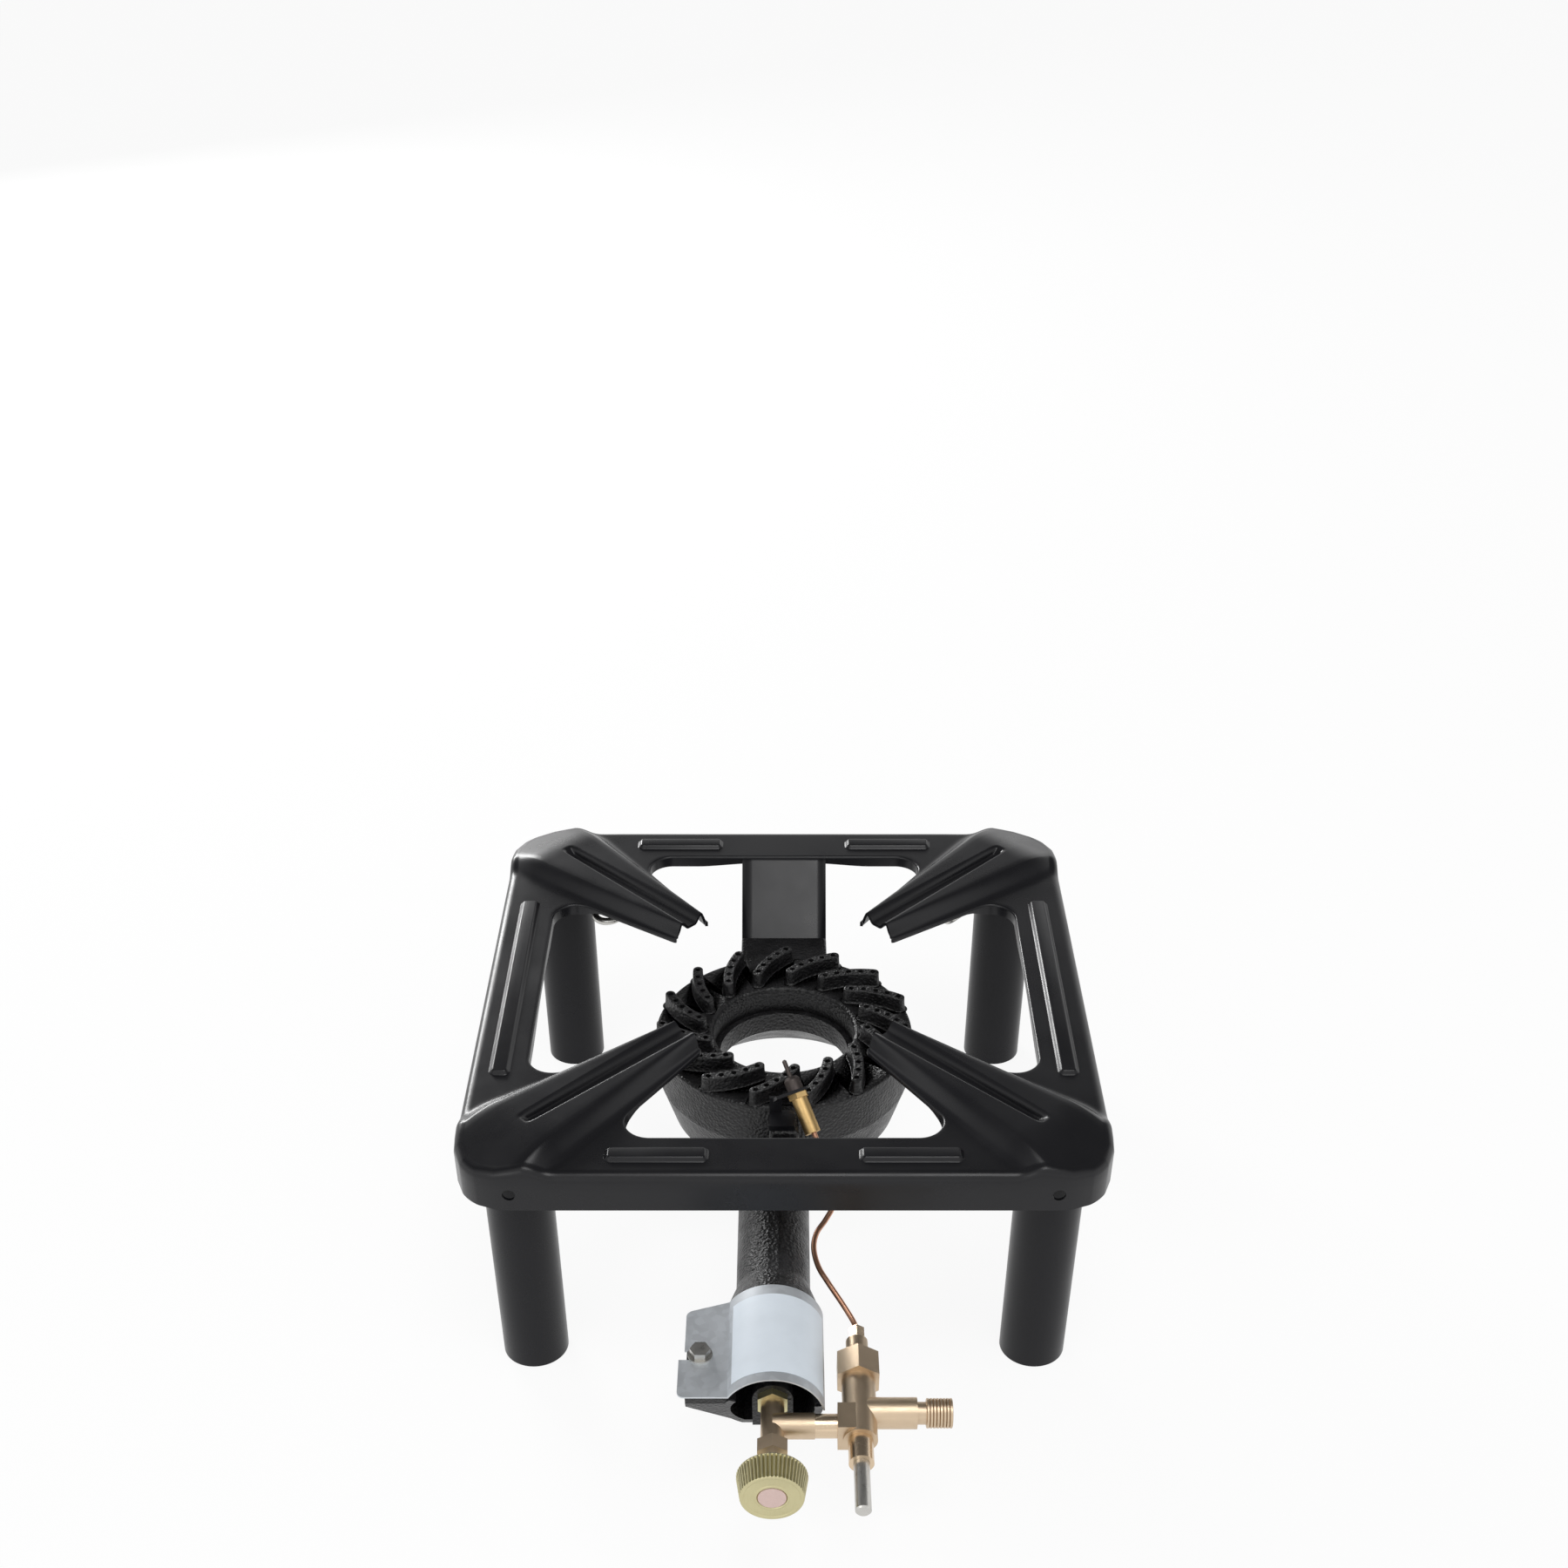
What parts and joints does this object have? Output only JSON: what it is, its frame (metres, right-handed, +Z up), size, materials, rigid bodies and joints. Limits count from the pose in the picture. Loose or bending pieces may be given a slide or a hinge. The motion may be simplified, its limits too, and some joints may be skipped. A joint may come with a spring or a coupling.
{
  "type": "wok burner",
  "caption": "Low square gas stove: pressed frame with grooved pan arms on tube legs, cast swirl ring burner, mixing tube with air shutter, control valve and thermoelectric safety valve.",
  "frame": {"origin": "on the floor under the middle of the whole part's box", "axes": "+X to the right seen from the knob side, +Y away from the knob side, +Z up"},
  "size_m": [0.3, 0.432, 0.14],
  "materials": {
    "enamel": "satin black enamel",
    "leg_enamel": "satin black enamel",
    "cast": "sand-cast, painted black",
    "bowl_cast": "sand-cast, painted black",
    "zinc": "zinc plated",
    "galvanised": "galvanised",
    "label": "blank",
    "brass": "machined",
    "bright_brass": "polished",
    "chromate": "yellow chromate on zinc",
    "disc": "matt",
    "packing": "plain",
    "seal": "plain",
    "steel": "plain",
    "probe": "heat darkened",
    "copper": "drawn copper"
  },
  "bodies": {
    "stove": {"stool_frame": "enamel", "clamp_nuts": "leg_enamel", "burner_bowl": "bowl_cast", "burner_crown": "cast", "crown_screws": "zinc", "rear_mount_bolts": "zinc", "front_mount_bolt": "zinc", "jet": "brass", "jet_lock_nut": "zinc", "valve_body": "brass", "gland_nut": "brass", "gland_packing": "packing", "valve_nipple": "bright_brass", "safety_body": "brass", "magnet_cap_nut": "brass", "magnet_unit": "steel", "disc_spring": "steel", "thermocouple_nut": "bright_brass", "pin_sleeve": "bright_brass", "pin_spring": "steel", "pin_seal": "seal", "thermocouple_probe": "probe", "thermocouple_sleeve": "bright_brass", "thermocouple_bracket": "enamel", "copper_lead": "copper", "leg_front_left": "leg_enamel", "leg_stub_front_left": "leg_enamel", "leg_front_right": "leg_enamel", "leg_stub_front_right": "leg_enamel", "leg_rear_left": "leg_enamel", "leg_stub_rear_left": "leg_enamel", "leg_rear_right": "leg_enamel", "leg_stub_rear_right": "leg_enamel"},
    "shutter": {"air_shutter": "galvanised", "shutter_label": "label", "shutter_bolt": "zinc", "shutter_washer": "zinc", "shutter_nut": "zinc"},
    "spindle": {"valve_spindle": "steel"},
    "knob": {"knob": "chromate", "knob_disc": "disc"},
    "push_pin": {"push_pin": "zinc"},
    "valve_disc": {"valve_disc": "seal"},
    "eye_bolt_front_left": {"eye_bolt_front_left": "zinc"},
    "eye_bolt_front_right": {"eye_bolt_front_right": "zinc"},
    "eye_bolt_rear_left": {"eye_bolt_rear_left": "zinc"},
    "eye_bolt_rear_right": {"eye_bolt_rear_right": "zinc"}
  },
  "joints": [
    {"name": "spindle_rise", "type": "slide", "parent": "stove", "child": "spindle", "axis": [0, -1, 0], "range_m": [0, 0.0015]},
    {"name": "knob_turn", "type": "hinge", "parent": "spindle", "child": "knob", "pos_m": [-0.005, -0.202, 0.062], "axis": [0, -1, 0], "range_deg": [0, 540]},
    {"name": "push", "type": "slide", "parent": "stove", "child": "push_pin", "axis": [0, 1, 0], "range_m": [0, 0.0045], "stiffness_N_per_m": 700, "springref_m": -0.004, "deforming": ["pin_spring", "disc_spring"]},
    {"name": "disc_lift", "type": "slide", "parent": "stove", "child": "valve_disc", "axis": [0, 1, 0], "range_m": [0, 0.0046]},
    {"name": "shutter_slide", "type": "slide", "parent": "stove", "child": "shutter", "axis": [0, 1, 0], "range_m": [0, 0.014]},
    {"name": "clamp_turn_front_left", "type": "hinge", "parent": "stove", "child": "eye_bolt_front_left", "pos_m": [-0.1023, -0.0363, 0.113], "axis": [0.7071, 0.7071, 0], "range_deg": [-90, 90]},
    {"name": "clamp_turn_front_right", "type": "hinge", "parent": "stove", "child": "eye_bolt_front_right", "pos_m": [0.1023, -0.0363, 0.113], "axis": [-0.7071, 0.7071, 0], "range_deg": [-90, 90]},
    {"name": "clamp_turn_rear_left", "type": "hinge", "parent": "stove", "child": "eye_bolt_rear_left", "pos_m": [-0.1023, 0.1683, 0.113], "axis": [0.7071, -0.7071, 0], "range_deg": [-90, 90]},
    {"name": "clamp_turn_rear_right", "type": "hinge", "parent": "stove", "child": "eye_bolt_rear_right", "pos_m": [0.1023, 0.1683, 0.113], "axis": [-0.7071, -0.7071, 0], "range_deg": [-90, 90]}
  ],
  "couplings": [
    {"joint": "spindle_rise", "follows": "knob_turn", "m_per_rad": 0.00015915},
    {"joint": "disc_lift", "follows": "push", "ratio": 1}
  ]
}
